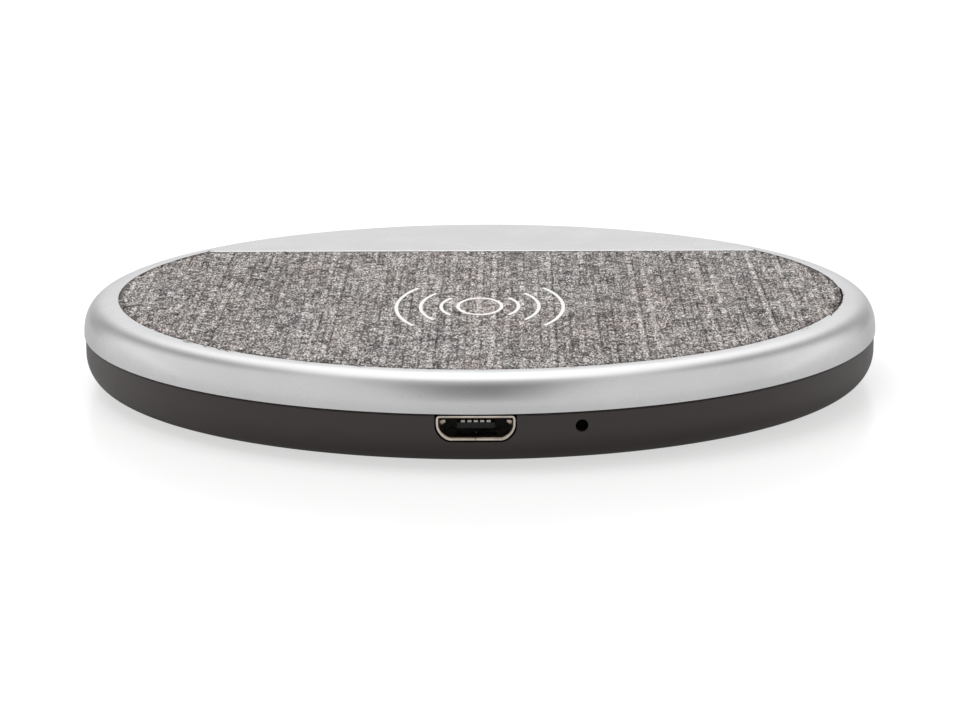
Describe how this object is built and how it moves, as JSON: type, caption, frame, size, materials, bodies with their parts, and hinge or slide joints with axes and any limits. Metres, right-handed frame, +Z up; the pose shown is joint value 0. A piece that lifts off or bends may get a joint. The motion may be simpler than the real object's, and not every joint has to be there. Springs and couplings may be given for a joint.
{
  "type": "wireless charging pad",
  "caption": "Round desk pad that charges a phone or tablet laid on it: woven cloth face, silver rim with a flat rear segment, dark plastic base, micro-USB socket and status light at the front.",
  "frame": {"origin": "on the desk, under the centre of the round body, level with the undersides of the feet", "axes": "+Z up out of the cloth face, +Y towards the flat silver segment at the rear, -Y towards the charging socket at the front, +X towards the status light's side"},
  "size_m": [0.09, 0.09, 0.0096],
  "materials": {
    "board": "green solder mask",
    "casing": "dark warm grey, fine satin texture",
    "ceramic": "ceramic chip with tinned ends",
    "chip": "black moulded package",
    "clear": "clear moulded",
    "cloth": "grey melange canvas weave with a printed white charging symbol",
    "contact": "gold plated",
    "copper": "enamelled litz wire",
    "ferrite": "sintered, matt",
    "foam": "closed-cell foam",
    "inner_plastic": "black moulded plastic",
    "lamp": "white lamp body",
    "rubber": "matt",
    "silver": "bead-blasted satin, clear anodised",
    "steel": "nickel plated",
    "tape": "translucent double-sided tape"
  },
  "bodies": {
    "root": {"base_shell": "casing", "bezel": "silver", "bezel_adhesive": "tape", "board_screw_left": "steel", "board_screw_right": "steel", "bridge_driver_left": "chip", "bridge_driver_right": "chip", "carrier_plate": "inner_plastic", "case_screw_1": "steel", "case_screw_2": "steel", "case_screw_3": "steel", "case_screw_4": "steel", "charging_coil": "copper", "circuit_board": "board", "cloth_adhesive": "tape", "cloth_cover": "cloth", "coil_adhesive_bottom": "tape", "coil_adhesive_top": "tape", "controller_chip": "chip", "ferrite_plate": "ferrite", "foam_pad_left": "foam", "foam_pad_right": "foam", "foot_1": "rubber", "foot_2": "rubber", "foot_3": "rubber", "foot_4": "rubber", "input_capacitor_1": "ceramic", "input_capacitor_2": "ceramic", "light_pipe": "clear", "resonant_capacitor_1": "ceramic", "resonant_capacitor_2": "ceramic", "resonant_capacitor_3": "ceramic", "resonant_capacitor_4": "ceramic", "status_led": "lamp", "temperature_sensor": "chip", "usb_contact_1": "contact", "usb_contact_2": "contact", "usb_contact_3": "contact", "usb_contact_4": "contact", "usb_contact_5": "contact", "usb_insulator": "chip", "usb_shell": "steel"}
  },
  "joints": []
}
